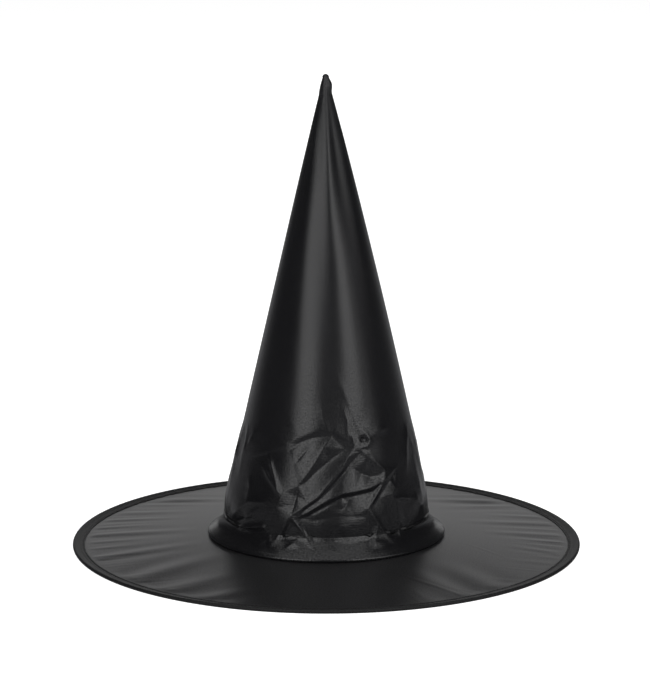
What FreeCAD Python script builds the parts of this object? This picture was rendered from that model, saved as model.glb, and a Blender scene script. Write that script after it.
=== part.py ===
import FreeCAD, Part
import math
import os

# Witch hat: a satin cone on a flat round brim, both held open by steel hoops.
# Millimetres, +Z up along the cone, origin under the cone's centre on the
# plane that the brim's edge rests on. The back of the hat faces +Y.

# Driving dimensions
brim_radius = 190.0  # to the outside of the edge binding
height = 354.5  # from the resting plane to the tip
ring_radius = 87.3  # centre line of the hoop in the cone's rolled foot
brim_rise = 8.2  # the brim's top at the cone's foot, above the resting plane
cloth = 0.4  # every cloth layer
gap = 0.05  # between layers that lie on each other
wire_radius = 0.75  # both steel hoops

# The cone's outline, as radius and height: it is nearly straight, a little
# full in the middle, drawn in to a waist above the foot, and its tip is a
# blunt nub under a round cap.
waist = (76.4, 23.1)
waist_middle = (75.3, 35.5)
cone_start = (73.0, 47.9)
cone_middle = (41.9, 186.0)
tip_start = (5.3, 338.1)
tip_middle = (4.0, 346.0)
cap_start = (2.4, 351.5)

# The cone bends between these heights when its top flops over.
bend_low = 200.0
bend_high = 270.0
bend_slit = 0.1  # the top moves on its own body, a hair above the bend

# Edge of the brim: two panels inside a folded tape
binding_width = 9.0
tape_inside = wire_radius + 0.25  # the tape's inner radius round the hoop
tape_outside = tape_inside + cloth
hoop_radius = brim_radius - tape_outside
hoop_height = tape_outside
binding_edge = brim_radius - binding_width
fold_start = binding_edge + 3.6  # where the tape leaves the panels for the hoop
panel_edge = hoop_radius - tape_inside - 0.3
panel_level = 2 * (cloth + gap) + cloth  # the top panel's face inside the tape
upper_face = panel_level + gap + cloth  # top of the tape where it lies flat
lap_inset = 0.3  # the tape's lapped end stops this short of its own edges
lap_angle = 5.0  # degrees

# Stitching
thread = 0.14  # sewing thread, radius
thread_clear = 0.02
stitch_radius = binding_edge + 1.4
groove_half = 0.3
groove_depth = 0.31
seam_stitch_radius = 85.2

# Foot of the cone, rolled round its own hoop
roll_inside = wire_radius + 0.3
roll_outside = roll_inside + cloth
roll_height = brim_rise + gap + roll_outside
flare_radius = 12.0

# Head opening: the raw edges stop at one radius and a narrow tape folds over them
opening_edge = 84.5
opening_fold = 0.6  # the tape is bulky where it folds
opening_radius = opening_edge - gap - opening_fold
opening_leg_end = 86.0

# Hoops: their joints and the crimped sleeves over them, in degrees round the hat
hoop_joint = 0.3
hoop_sleeve_angle = 4.4
ring_joint = 0.7
ring_sleeve_angle = 9.0
sleeve_wall = 0.15
sleeve_play = 0.03

# Layers of the cone, counted inwards from its outside as level distances
satin_wall = 0.42
lining_start = satin_wall + gap
lining_wall = 0.42
lining_foot = 24.0
lining_top = 326.0
gather_low = 326.5
seam_start = lining_start + lining_wall + gap
seam_wall = 0.85
seam_half = 6.0
seam_top = 312.0
seam_top_half = 3.6
label_start = seam_start + seam_wall + gap
label_wall = 0.3
label_low = 28.0
label_high = 62.0
label_half = 10.0
label_across = 14.0  # from the back seam's middle to the label's

Z = FreeCAD.Vector(0, 0, 1)
CENTRE = FreeCAD.Vector(0, 0, 0)
BACK = 90.0  # degrees from +X to the back of the hat
TINY = 1e-6


def place(point):
    """A point of a section, radius and height, in the XZ plane."""
    return FreeCAD.Vector(point[0], 0, point[1])


def line(a, b):
    return Part.LineSegment(place(a), place(b)).toShape()


def arc(a, middle, b):
    return Part.Arc(place(a), place(middle), place(b)).toShape()


def chain(points):
    """Straight edges from each point to the next."""
    return [line(a, b) for a, b in zip(points, points[1:])]


def turned(edges, angle=360.0, start=0.0):
    """The solid that a closed section makes when it turns about the hat's axis."""
    face = Part.Face(Part.Wire(Part.__sortEdges__(edges)))
    solid = face.revolve(CENTRE, Z, angle)
    solid.rotate(CENTRE, Z, start)
    return solid


def ring_at(radius, at_height, thickness, angle=360.0, start=0.0):
    """A round wire or thread of that thickness, bent round the hat's axis."""
    low = (radius, at_height - thickness)
    out = (radius + thickness, at_height)
    high = (radius, at_height + thickness)
    inner = (radius - thickness, at_height)
    return turned([arc(low, out, high), arc(high, inner, low)], angle, start)


def circle_through(a, b, c):
    """Centre and radius of the outline's arc through three of its points."""
    circle = arc(a, b, c).Curve
    return circle.Center.x, circle.Center.z, circle.Radius


OUTLINE = [
    (waist[1], cone_start[1], circle_through(waist, waist_middle, cone_start)),
    (cone_start[1], tip_start[1], circle_through(cone_start, cone_middle, tip_start)),
    (tip_start[1], cap_start[1], circle_through(tip_start, tip_middle, cap_start)),
]


def cone_radius(at_height):
    """Outside radius of the cone at a height from its waist to its cap."""
    for _, high, (across, up, radius) in OUTLINE:
        if at_height <= high + TINY:
            return across + math.sqrt(radius**2 - (at_height - up) ** 2)
    raise ValueError("that height is above the cone's cap")


def round_cap(start, top):
    """An arc from a point of a section to the axis, which it meets squarely."""
    rise = top - start[1]
    radius = (start[0] ** 2 + rise**2) / (2 * rise)
    half = math.atan2(start[0], radius - rise) / 2
    middle = (radius * math.sin(half), top - radius + radius * math.cos(half))
    return arc(start, middle, (0.0, top))


def cone_side(low, high, inwards):
    """Edges up the cone's outline between two heights, moved level inwards."""
    edges = []
    for start, end, _ in OUTLINE:
        a, b = max(low, start), min(high, end)
        if b - a > TINY:
            points = [(cone_radius(z) - inwards, z) for z in (a, (a + b) / 2, b)]
            edges.append(arc(*points))
    return edges


def cone_layer(low, high, start, wall):
    """One closed layer of the cone between two heights."""
    edges = cone_side(low, high, start) + cone_side(low, high, start + wall)
    for z in (low, high):
        radius = cone_radius(z)
        edges.append(line((radius - start, z), (radius - start - wall, z)))
    return turned(edges)


def foot_side(flare, roll):
    """One face of the foot: a roll round the hoop, then a flare up to the waist.
    The two arcs have these radii and are tangent. Gives the edges and both ends."""
    reach = flare_radius + roll_outside
    centre_radius = waist[0] + flare_radius
    along = centre_radius - ring_radius
    up = math.sqrt(reach**2 - along**2)
    lean = math.atan2(up, along)
    centre = (centre_radius, roll_height + up)
    meet = (ring_radius + roll * math.cos(lean), roll_height + roll * math.sin(lean))
    half = math.pi + lean / 2
    middle = (centre[0] + flare * math.cos(half), centre[1] + flare * math.sin(half))
    top = (centre[0] - flare, centre[1])
    bottom = (ring_radius, roll_height - roll)
    out = (ring_radius + roll, roll_height)
    return [arc(bottom, out, meet), arc(meet, middle, top)], bottom, top


def cone_lower_satin():
    """Outer cloth from its turned edge, round the hoop and up to the bend."""
    edges = []
    for inwards, flare, roll in (
        (0.0, flare_radius, roll_outside),
        (satin_wall, flare_radius + satin_wall, roll_outside - satin_wall),
    ):
        foot, bottom, top = foot_side(flare, roll)
        edges += foot + cone_side(waist[1], bend_low, inwards)
        edges.append(line(bottom, (opening_edge, bottom[1])))
        edges.append(line(top, (waist[0] - inwards, waist[1])))
    low = roll_height - roll_outside
    radius = cone_radius(bend_low)
    edges.append(line((opening_edge, low), (opening_edge, low + satin_wall)))
    edges.append(line((radius, bend_low), (radius - satin_wall, bend_low)))
    return turned(edges)


def cone_tip_satin():
    """Outer cloth of the top, closed at the blunt tip."""
    low = bend_high + bend_slit
    edges = []
    for inwards, top in ((0.0, height), (satin_wall, height - cloth)):
        edges += cone_side(low, cap_start[1], inwards)
        edges.append(round_cap((cap_start[0] - inwards, cap_start[1]), top))
    radius = cone_radius(low)
    edges.append(line((0.0, height - cloth), (0.0, height)))
    edges.append(line((radius, low), (radius - satin_wall, low)))
    return turned(edges)


def tip_gather():
    """Seam allowances bunched into a soft plug inside the tip."""
    inwards = satin_wall + gap
    low, high = gather_low, cap_start[1]
    edges = cone_side(low, high, inwards)
    edges += chain(
        [
            (cone_radius(high) - inwards, high),
            (0.0, high),
            (0.0, low),
            (cone_radius(low) - inwards, low),
        ]
    )
    return turned(edges)


def back_strip(low, high, half_width, start, wall, across=0.0):
    """A strip of cloth lying inside the back of the cone, across off its middle."""
    layer = cone_layer(low, high, start, wall)
    corner = FreeCAD.Vector(across - half_width, 0, 0)
    room = Part.makeBox(2 * half_width, brim_radius, height, corner)
    return layer.common(room).Solids[0]


def brim_panel(top):
    """One stretched ring of brim cloth, its top face that far below the brim's top."""
    upper = [
        (opening_edge, brim_rise - top),
        (ring_radius + roll_outside, brim_rise - top),
        (binding_edge - groove_half, panel_level - top),
        (panel_edge, panel_level - top),
    ]
    lower = [(radius, z - cloth) for radius, z in reversed(upper)]
    return turned(chain(upper + lower + upper[:1]))


def grooved(left, right, face, depth):
    """A flat face from left to right with the stitching groove pressed into it."""
    a, b = stitch_radius - groove_half, stitch_radius + groove_half
    return chain(
        [
            (left, face),
            (a, face),
            (a, face + depth),
            (b, face + depth),
            (b, face),
            (right, face),
        ]
    )


def edge_binding():
    """Tape folded round the hoop and sewn through both panels."""
    edges = grooved(binding_edge, hoop_radius, 0.0, groove_depth)
    edges += grooved(binding_edge, fold_start, upper_face, -groove_depth)
    edges.append(line((fold_start, upper_face), (hoop_radius, 2 * tape_outside)))
    for radius in (tape_outside, tape_inside):
        low = (hoop_radius, hoop_height - radius)
        out = (hoop_radius + radius, hoop_height)
        high = (hoop_radius, hoop_height + radius)
        edges.append(arc(low, out, high))
    edges += chain(
        [
            (hoop_radius, hoop_height + tape_inside),
            (fold_start, upper_face - cloth),
            (binding_edge, upper_face - cloth),
            (binding_edge, upper_face),
        ]
    )
    edges += chain([(hoop_radius, cloth), (binding_edge, cloth), (binding_edge, 0.0)])
    return turned(edges)


def binding_end_lap():
    """The tape's free end, lapped over its beginning at the back."""
    low = [
        (binding_edge + lap_inset, upper_face + gap),
        (fold_start, upper_face + gap),
        (hoop_radius - lap_inset, 2 * tape_outside + gap),
    ]
    high = [(radius, z + cloth) for radius, z in reversed(low)]
    return turned(chain(low + high + low[:1]), lap_angle, BACK - lap_angle / 2)


def hoop(radius, at_height, joint):
    """A steel wire hoop with its two ends meeting at the back."""
    return ring_at(radius, at_height, wire_radius, 360.0 - joint, BACK + joint / 2)


def hoop_sleeve(radius, at_height, angle):
    """The crimped tube over the two ends of a hoop."""
    inner = wire_radius + sleeve_play
    start = BACK - angle / 2
    tube = ring_at(radius, at_height, inner + sleeve_wall, angle, start)
    return tube.cut(ring_at(radius, at_height, inner, angle, start))


opening_top = brim_rise + 2 * gap + 2 * cloth
opening_bottom = brim_rise - 3 * cloth - 2 * gap


def opening_seam_binding():
    """Narrow tape folded round the raw edges at the head opening."""
    inner = opening_radius + opening_fold
    return turned(
        chain(
            [
                (opening_radius, opening_bottom),
                (opening_leg_end, opening_bottom),
                (opening_leg_end, opening_bottom + cloth),
                (inner, opening_bottom + cloth),
                (inner, opening_top - cloth),
                (opening_leg_end, opening_top - cloth),
                (opening_leg_end, opening_top),
                (opening_radius, opening_top),
                (opening_radius, opening_bottom),
            ]
        )
    )


def opening_seam_stitching():
    """Top and bottom threads of the seam that joins cone and brim."""
    off = thread + thread_clear
    heights = (opening_top + off, opening_bottom - off)
    return Part.makeCompound([ring_at(seam_stitch_radius, z, thread) for z in heights])


def binding_stitching(groove_floor, side):
    """One row of thread in the binding's groove, on that side of the groove's floor."""
    at_height = groove_floor + side * (thread + thread_clear)
    return ring_at(stitch_radius, at_height, thread)


def all_parts():
    """Every piece of the hat, by name."""
    tip_low = bend_high + bend_slit
    parts = {
        "brim_hoop_wire": hoop(hoop_radius, hoop_height, hoop_joint),
        "brim_hoop_sleeve": hoop_sleeve(hoop_radius, hoop_height, hoop_sleeve_angle),
        "brim_top_panel": brim_panel(0.0),
        "brim_under_panel": brim_panel(cloth + gap),
        "brim_edge_binding": edge_binding(),
        "binding_end_lap": binding_end_lap(),
        "binding_stitching_top": binding_stitching(upper_face - groove_depth, 1),
        "binding_stitching_under": binding_stitching(groove_depth, -1),
        "cone_ring_wire": hoop(ring_radius, roll_height, ring_joint),
        "cone_ring_sleeve": hoop_sleeve(ring_radius, roll_height, ring_sleeve_angle),
        "opening_seam_binding": opening_seam_binding(),
        "opening_seam_stitching": opening_seam_stitching(),
        "cone_lower_satin": cone_lower_satin(),
        "cone_bend_satin": cone_layer(bend_low, bend_high, 0.0, satin_wall),
        "cone_tip_satin": cone_tip_satin(),
        "tip_gather": tip_gather(),
    }
    for name, low, high in (
        ("cone_lower_interlining", lining_foot, bend_low),
        ("cone_bend_interlining", bend_low, bend_high),
        ("cone_tip_interlining", tip_low, lining_top),
    ):
        parts[name] = cone_layer(low, high, lining_start, lining_wall)
    for name, low, high, half_width in (
        ("back_seam_lower", lining_foot, bend_low, seam_half),
        ("back_seam_bend", bend_low, bend_high, seam_half),
        ("back_seam_tip", tip_low, seam_top, seam_top_half),
    ):
        parts[name] = back_strip(low, high, half_width, seam_start, seam_wall)
    parts["care_label"] = back_strip(
        label_low, label_high, label_half, label_start, label_wall, label_across
    )
    return parts


os.makedirs("parts", exist_ok=True)
for name, shape in all_parts().items():
    shape.exportStep(f"parts/{name}.step")
    box = shape.BoundBox
    print(
        f"{name}: {len(shape.Solids)} solid, valid {shape.isValid()}, "
        f"{shape.Volume / 1000:.3f} cm3, z {box.ZMin:.2f} to {box.ZMax:.2f}"
    )
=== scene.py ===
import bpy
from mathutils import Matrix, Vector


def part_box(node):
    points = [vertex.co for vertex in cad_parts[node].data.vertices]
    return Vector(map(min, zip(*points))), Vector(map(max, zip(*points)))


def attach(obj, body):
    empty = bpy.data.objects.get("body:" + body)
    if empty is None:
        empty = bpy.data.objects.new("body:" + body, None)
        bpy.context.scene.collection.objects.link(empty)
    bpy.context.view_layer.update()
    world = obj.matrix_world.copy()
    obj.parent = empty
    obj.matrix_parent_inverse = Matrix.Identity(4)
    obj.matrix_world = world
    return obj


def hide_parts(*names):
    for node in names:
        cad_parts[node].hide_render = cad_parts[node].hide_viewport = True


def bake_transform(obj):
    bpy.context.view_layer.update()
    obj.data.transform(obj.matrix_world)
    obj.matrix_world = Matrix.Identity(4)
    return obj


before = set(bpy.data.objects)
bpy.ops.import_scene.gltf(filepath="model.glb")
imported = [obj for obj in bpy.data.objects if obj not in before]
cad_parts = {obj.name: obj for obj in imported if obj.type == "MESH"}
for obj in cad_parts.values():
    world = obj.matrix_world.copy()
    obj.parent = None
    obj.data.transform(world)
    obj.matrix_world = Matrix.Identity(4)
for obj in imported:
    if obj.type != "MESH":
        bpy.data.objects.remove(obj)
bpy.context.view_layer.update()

import math

import bpy
import numpy as np
from mathutils import Vector
from mathutils.geometry import delaunay_2d_cdt

mm = 0.001  # shapes are worked out in millimetres and made in metres
turn = 2 * math.pi
frontFine = 0.5  # columns stand closer at the front of the hat, where it is seen most


def boxOf(node):  # a node's lowest and highest corner
    low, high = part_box(node)
    return np.array(low) / mm, np.array(high) / mm


def levelsOf(node):  # a node's lowest and highest level
    return [corner[2] for corner in boxOf(node)]


def smooth(value, start, end):  # 0 before start, 1 after end, an S between them
    t = np.clip((value - start) / (end - start), 0, 1)
    return t * t * (3 - 2 * t)


def bump(value, centre, width):  # a Gaussian bell, 1 at its centre
    return np.exp(-(((value - centre) / width) ** 2))


def columns(count, fine=0.0):
    # angle = 2 pi t - fine sin(2 pi t), t from -1/2 at the back to 1/2: closer at the front by fine
    t = np.arange(count) / count - 0.5
    return turn * t - fine * np.sin(turn * t)


def aroundHat(angle, radius, height, across=0.0):
    # point = (radius sin(angle) + across, -radius cos(angle), height)
    sides = (radius * np.sin(angle) + across, -radius * np.cos(angle), height)
    return np.stack(np.broadcast_arrays(*sides), -1)


def pairs(first, second):  # two values at each point of a grid, such as its place on the flat cloth
    return np.stack(np.broadcast_arrays(first, second), -1)


def makeMesh(name, points, faces, material, uv=None, sharp=None):
    # uv is the place on the flat cloth of each point, and sharp is the angle of an edge in degrees
    mesh = bpy.data.meshes.new(name)
    mesh.from_pydata((points * mm).tolist(), [], [list(face) for face in faces])
    mesh.shade_smooth()
    if uv is not None:
        layer = mesh.uv_layers.new(name="cloth")
        sizes = np.array([len(face) for face in faces])
        corners = uv[np.concatenate([np.asarray(face) for face in faces])]
        # a face that closes a ring has corners at both ends of the cloth: the near end moves on
        first = np.concatenate([[0], np.cumsum(sizes)[:-1]])
        across = corners[:, 0]
        spread = np.maximum.reduceat(across, first) - np.minimum.reduceat(across, first)
        start, around = uv[:, 0].min(), np.ptp(uv[:, 0])
        closing = np.repeat(spread > 0.6 * around, sizes) & (across < start + 0.3 * around)
        corners[:, 0] += closing * around
        layer.data.foreach_set("uv", (corners * mm).astype(np.float32).ravel())
    if sharp:
        mesh.set_sharp_from_angle(angle=math.radians(sharp))
    mesh.materials.append(material)
    piece = bpy.data.objects.new(name, mesh)
    bpy.context.scene.collection.objects.link(piece)
    return piece


def gridFaces(rows, cols, wrapCols=True, wrapRows=False):
    # each cell of a grid as four corners, going along the columns and then up the rows
    i = np.arange(rows if wrapRows else rows - 1)[:, None]
    j = np.arange(cols if wrapCols else cols - 1)[None, :]
    nextI, nextJ = (i + 1) % rows, (j + 1) % cols
    corners = [i * cols + j, i * cols + nextJ, nextI * cols + nextJ, nextI * cols + j]
    return np.stack([c + 0 * (i + j) for c in corners], -1).reshape(-1, 4)


def makeSurface(name, grid, material, uv, sharp=None, **wraps):
    # a surface from a grid of points, rows by columns
    faces = gridFaces(*grid.shape[:2], **wraps)
    return makeMesh(name, grid.reshape(-1, 3), faces, material, uv.reshape(-1, 2), sharp)


def makeLoop(name, loop, angle, radius, flip=False):
    # a closed section of tape, points by columns, carried round the hat and closed on itself:
    # uv = (angle x radius, length walked round the section)
    steps = np.linalg.norm(np.diff(loop[:, :1], axis=0), axis=-1)
    length = np.concatenate([[[0]], np.cumsum(steps, axis=0)])
    uv = pairs(angle * radius, length)
    loop = loop[::-1] if flip else loop  # so that its faces point outwards
    return makeSurface(name, loop, tapeMaterial, uv, sharp=35, wrapRows=True)


def thicken(piece, thickness, offset=-1.0):
    solid = piece.modifiers.new("thickness", "SOLIDIFY")
    solid.thickness = thickness * mm
    solid.offset = offset
    solid.use_even_offset = True
    return piece


def circleAt(centre, radius, angle):
    # points of a circle: centre + radius (cos(angle), sin(angle))
    return np.stack([centre[0] + radius * np.cos(angle), centre[1] + radius * np.sin(angle)], -1)


def arcPoints(a, b, c, t):
    # points at fractions t along the circle through a, b and c, from a to c
    (ax, ay), (bx, by), (cx, cy) = a, b, c
    m = np.array([[bx - ax, by - ay], [cx - ax, cy - ay]])
    rhs = 0.5 * np.array([bx**2 - ax**2 + by**2 - ay**2, cx**2 - ax**2 + cy**2 - ay**2])
    ox, oy = np.linalg.solve(m, rhs)
    radius = math.hypot(ax - ox, ay - oy)
    start, middle, end = (math.atan2(y - oy, x - ox) for x, y in (a, b, c))
    step = (end - start + math.pi) % turn - math.pi
    if abs(((middle - start + math.pi) % turn - math.pi)) > abs(step):
        step -= math.copysign(turn, step)
    return circleAt((ox, oy), radius, start + step * np.asarray(t))


def hexLinear(code):
    # an sRGB hex colour as linear red, green, blue and alpha
    parts = [int(code[i : i + 2], 16) / 255 for i in (1, 3, 5)]
    return (*[c / 12.92 if c <= 0.04045 else ((c + 0.055) / 1.055) ** 2.4 for c in parts], 1.0)


def addNode(tree, kind, settings=None, links=None):
    node = tree.nodes.new(kind)
    for key, value in (settings or {}).items():
        if isinstance(key, int) or key in node.inputs:
            node.inputs[key].default_value = value
        else:
            setattr(node, key, value)
    for key, source in (links or {}).items():
        tree.links.new(source, node.inputs[key])
    return node


def newMaterial(name, fixed):
    # a material with its shader, whose fixed values stand on the shader's own sockets
    material = bpy.data.materials.new(name)
    material.use_nodes = True
    tree = material.node_tree
    shader = tree.nodes["Principled BSDF"]
    for socket, value in fixed.items():
        shader.inputs[socket].default_value = value
    return material, tree, shader


def bands(size):
    # the Wave node's Scale for bands that lie this many millimetres apart: pi / (20 size)
    return math.pi / (20 * size * mm)


def grains(size):
    # the Scale of a noise or of dots that are this many millimetres across
    return 1 / (size * mm)


def wovenSatin(name, look):
    # polyester satin: long smooth floats of bright yarn, so one face shines in soft bands,
    # with a fine rib where each weft thread dives under
    material, tree, shader = newMaterial(name, {
        "IOR": 1.5, "Anisotropic": look["stretch"], "Sheen Weight": look["sheen"], "Sheen Roughness": 0.4})
    place = addNode(tree, "ShaderNodeUVMap", {"uv_map": "cloth"})
    cloud = addNode(tree, "ShaderNodeTexNoise", {"Scale": grains(look["cloudSize"]), "Detail": 3.0},
                    {"Vector": place.outputs["UV"]})
    slub = addNode(tree, "ShaderNodeTexNoise", {"Scale": grains(look["grainSize"]), "Detail": 2.0},
                   {"Vector": place.outputs["UV"]})
    tone = addNode(tree, "ShaderNodeMixRGB",
                   {"Color1": hexLinear(look["dark"]), "Color2": hexLinear(look["light"])},
                   {"Fac": cloud.outputs["Fac"]})
    tree.links.new(tone.outputs["Color"], shader.inputs["Base Color"])
    rough = addNode(tree, "ShaderNodeMapRange",
                    {"To Min": look["roughness"][0], "To Max": look["roughness"][1]},
                    {"Value": slub.outputs["Fac"]})
    tree.links.new(rough.outputs["Result"], shader.inputs["Roughness"])
    # each float mirrors a little more or less than the next
    dull, bright = (look["gloss"] * (1 + way * look["grainShine"]) for way in (-1, 1))
    shine = addNode(tree, "ShaderNodeMapRange",
                    {"From Min": 0.3, "From Max": 0.7, "To Min": dull, "To Max": bright},
                    {"Value": slub.outputs["Fac"]})
    tree.links.new(shine.outputs["Result"], shader.inputs["Specular IOR Level"])
    weft = addNode(tree, "ShaderNodeTexWave", {"wave_type": "BANDS", "bands_direction": look["ribs"],
                                               "Scale": bands(look["threadSize"]),
                                               "Distortion": 1.5, "Detail": 2.0, "Detail Scale": 3.0},
                   {"Vector": place.outputs["UV"]})
    ribs = addNode(tree, "ShaderNodeBump", {"Strength": look["ribDepth"], "Distance": 0.1 * mm},
                   {"Height": weft.outputs["Fac"]})
    grain = addNode(tree, "ShaderNodeBump", {"Strength": look["grainDepth"], "Distance": 0.15 * mm},
                    {"Height": slub.outputs["Fac"], "Normal": ribs.outputs["Normal"]})
    tree.links.new(grain.outputs["Normal"], shader.inputs["Normal"])
    return material


coneSatinLook = {
    "dark": "#0d0d0f", "light": "#151517", "roughness": (0.20, 0.27), "gloss": 0.5, "grainShine": 0.55,
    "sheen": 0.02, "stretch": 0.25, "cloudSize": 40.0, "grainSize": 1.2, "threadSize": 0.9, "ribs": "Y",
    "ribDepth": 0.15, "grainDepth": 0.6,
}
brimSatinLook = {
    "dark": "#151516", "light": "#1c1c1e", "roughness": (0.34, 0.44), "gloss": 0.5, "grainShine": 0.55,
    "sheen": 0.03, "stretch": 0.0, "cloudSize": 60.0, "grainSize": 1.1, "threadSize": 1.0, "ribs": "Y",
    "ribDepth": 0.15, "grainDepth": 0.35,
}


def wovenTape():
    # ribbed polyester tape: cords across its width under a close warp, so it is matt with fine ribs
    material, tree, shader = newMaterial("bindingTape", {
        "IOR": 1.5, "Sheen Weight": 0.02, "Sheen Roughness": 0.5, "Roughness": 0.55,
        "Specular IOR Level": 0.35})
    place = addNode(tree, "ShaderNodeUVMap", {"uv_map": "cloth"})
    cords = addNode(tree, "ShaderNodeTexWave",
                    {"bands_direction": "X", "Scale": bands(1.3), "Distortion": 0.6, "Detail": 1.0},
                    {"Vector": place.outputs["UV"]})
    fuzz = addNode(tree, "ShaderNodeTexNoise", {"Scale": grains(0.8), "Detail": 3.0},
                   {"Vector": place.outputs["UV"]})
    tone = addNode(tree, "ShaderNodeMixRGB",
                   {"Color1": hexLinear("#080809"), "Color2": hexLinear("#111112")},
                   {"Fac": cords.outputs["Fac"]})
    tree.links.new(tone.outputs["Color"], shader.inputs["Base Color"])
    ribs = addNode(tree, "ShaderNodeBump", {"Strength": 0.6, "Distance": 0.2 * mm},
                   {"Height": cords.outputs["Fac"]})
    nap = addNode(tree, "ShaderNodeBump", {"Strength": 0.4, "Distance": 0.15 * mm},
                  {"Height": fuzz.outputs["Fac"], "Normal": ribs.outputs["Normal"]})
    tree.links.new(nap.outputs["Normal"], shader.inputs["Normal"])
    return material


def pressedNonwoven():
    # thermally bonded nonwoven interlining: matt fibres pressed flat, with a grid of melted dots
    material, tree, shader = newMaterial("interliningCloth", {"IOR": 1.5, "Sheen Weight": 0.05})
    place = addNode(tree, "ShaderNodeUVMap", {"uv_map": "cloth"})
    fibres = addNode(tree, "ShaderNodeTexNoise", {"Scale": grains(3.0), "Detail": 6.0, "Roughness": 0.7},
                     {"Vector": place.outputs["UV"]})
    dots = addNode(tree, "ShaderNodeTexVoronoi", {"Scale": grains(2.4), "Randomness": 0.0},
                   {"Vector": place.outputs["UV"]})
    pressed = addNode(tree, "ShaderNodeMapRange", {"From Min": 0.18, "From Max": 0.30},
                      {"Value": dots.outputs["Distance"]})
    tone = addNode(tree, "ShaderNodeMixRGB",
                   {"Color1": hexLinear("#131314"), "Color2": hexLinear("#242427")},
                   {"Fac": fibres.outputs["Fac"]})
    tree.links.new(tone.outputs["Color"], shader.inputs["Base Color"])
    rough = addNode(tree, "ShaderNodeMapRange", {"To Min": 0.45, "To Max": 0.9},
                    {"Value": pressed.outputs["Result"]})
    tree.links.new(rough.outputs["Result"], shader.inputs["Roughness"])
    dimple = addNode(tree, "ShaderNodeBump", {"Strength": 0.7, "Distance": 0.15 * mm},
                     {"Height": pressed.outputs["Result"]})
    felt = addNode(tree, "ShaderNodeBump", {"Strength": 0.5, "Distance": 0.2 * mm},
                   {"Height": fibres.outputs["Fac"], "Normal": dimple.outputs["Normal"]})
    tree.links.new(felt.outputs["Normal"], shader.inputs["Normal"])
    return material


def spunThread():
    # spun polyester thread: two plies twisted, slightly hairy, a soft sheen on each ply
    material, tree, shader = newMaterial("spunThread", {"IOR": 1.5, "Sheen Weight": 0.1, "Roughness": 0.5})
    place = addNode(tree, "ShaderNodeTexCoord")
    plies = addNode(tree, "ShaderNodeTexNoise", {"Scale": grains(0.25), "Detail": 2.0},
                    {"Vector": place.outputs["Object"]})
    tone = addNode(tree, "ShaderNodeMixRGB",
                   {"Color1": hexLinear("#0b0b0c"), "Color2": hexLinear("#1f1f22")},
                   {"Fac": plies.outputs["Fac"]})
    tree.links.new(tone.outputs["Color"], shader.inputs["Base Color"])
    twist = addNode(tree, "ShaderNodeBump", {"Strength": 0.5, "Distance": 0.05 * mm},
                    {"Height": plies.outputs["Fac"]})
    tree.links.new(twist.outputs["Normal"], shader.inputs["Normal"])
    return material


def labelTape():
    # woven satin label: white, close weave, blank, slightly grey where it has been handled
    material, tree, shader = newMaterial("labelTape", {"IOR": 1.5, "Sheen Weight": 0.1, "Roughness": 0.55})
    place = addNode(tree, "ShaderNodeUVMap", {"uv_map": "cloth"})
    weave = addNode(tree, "ShaderNodeTexWave",
                    {"bands_direction": "Y", "Scale": bands(0.6), "Distortion": 0.5},
                    {"Vector": place.outputs["UV"]})
    handled = addNode(tree, "ShaderNodeTexNoise", {"Scale": grains(9.0), "Detail": 3.0},
                      {"Vector": place.outputs["UV"]})
    tone = addNode(tree, "ShaderNodeMixRGB",
                   {"Color1": hexLinear("#d2d1cb"), "Color2": hexLinear("#e9e8e3")},
                   {"Fac": handled.outputs["Fac"]})
    tree.links.new(tone.outputs["Color"], shader.inputs["Base Color"])
    ribs = addNode(tree, "ShaderNodeBump", {"Strength": 0.4, "Distance": 0.1 * mm},
                   {"Height": weave.outputs["Fac"]})
    tree.links.new(ribs.outputs["Normal"], shader.inputs["Normal"])
    return material


def drawnSteel(name, light, dark, roughness):
    # steel wire pulled through a die, or tube crimped on it: fine lines along it and faint oil stains
    material, tree, shader = newMaterial(name, {"Metallic": 1.0})
    place = addNode(tree, "ShaderNodeTexCoord")
    stain = addNode(tree, "ShaderNodeTexNoise", {"Scale": grains(6.0), "Detail": 4.0},
                    {"Vector": place.outputs["Object"]})
    tone = addNode(tree, "ShaderNodeMixRGB", {"Color1": hexLinear(dark), "Color2": hexLinear(light)},
                   {"Fac": stain.outputs["Fac"]})
    tree.links.new(tone.outputs["Color"], shader.inputs["Base Color"])
    rough = addNode(tree, "ShaderNodeMapRange", {"To Min": roughness[0], "To Max": roughness[1]},
                    {"Value": stain.outputs["Fac"]})
    tree.links.new(rough.outputs["Result"], shader.inputs["Roughness"])
    lines = addNode(tree, "ShaderNodeTexNoise", {"Scale": grains(0.2), "Detail": 1.0},
                    {"Vector": place.outputs["Object"]})
    drawn = addNode(tree, "ShaderNodeBump", {"Strength": 0.2, "Distance": 0.02 * mm},
                    {"Height": lines.outputs["Fac"]})
    tree.links.new(drawn.outputs["Normal"], shader.inputs["Normal"])
    return material


coneSatinMaterial = wovenSatin("coneSatin", coneSatinLook)
brimSatinMaterial = wovenSatin("brimSatin", brimSatinLook)
tapeMaterial = wovenTape()
interliningMaterial = pressedNonwoven()
threadMaterial = spunThread()
labelMaterial = labelTape()
wireMaterial = drawnSteel("springSteelWire", "#9a9a9c", "#77777a", (0.25, 0.4))
sleeveMaterial = drawnSteel("crimpedSteelTube", "#c4c3bd", "#a3a29d", (0.3, 0.45))
print("materials made")


satinHigh = boxOf("cone_lower_satin")[1]
tipHeight = levelsOf("cone_tip_satin")[1]
wireLow, wireHigh = boxOf("cone_ring_wire")

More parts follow.
